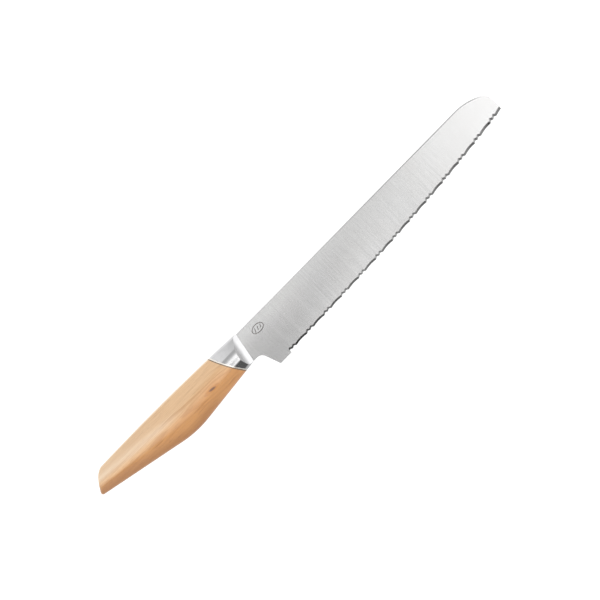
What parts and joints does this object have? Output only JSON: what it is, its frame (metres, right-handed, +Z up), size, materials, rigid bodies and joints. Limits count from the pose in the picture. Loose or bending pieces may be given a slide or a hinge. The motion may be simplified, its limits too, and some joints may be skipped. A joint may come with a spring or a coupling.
{
  "type": "bread knife",
  "caption": "Scalloped bread knife with a rounded tip, a polished steel bolster and a one-piece wooden handle with a slanted butt, for slicing loaves.",
  "frame": {"origin": "centre of the box's underside, on the surface the knife lies on", "axes": "+X along the knife towards the tip, +Y towards the spine, +Z up out of the right face; the knife lies on its left side at rest"},
  "size_m": [0.369, 0.0378, 0.02],
  "materials": {
    "blade_steel": "satin, brushed across the blade",
    "bolster_steel": "polished",
    "braze": "polished flush",
    "handle_wood": "oiled light hardwood, satin",
    "epoxy": "cured resin"
  },
  "bodies": {
    "root": {"blade": "blade_steel", "bolster": "bolster_steel", "bolster_braze": "braze", "handle": "handle_wood", "tang_bedding": "epoxy"}
  },
  "joints": []
}
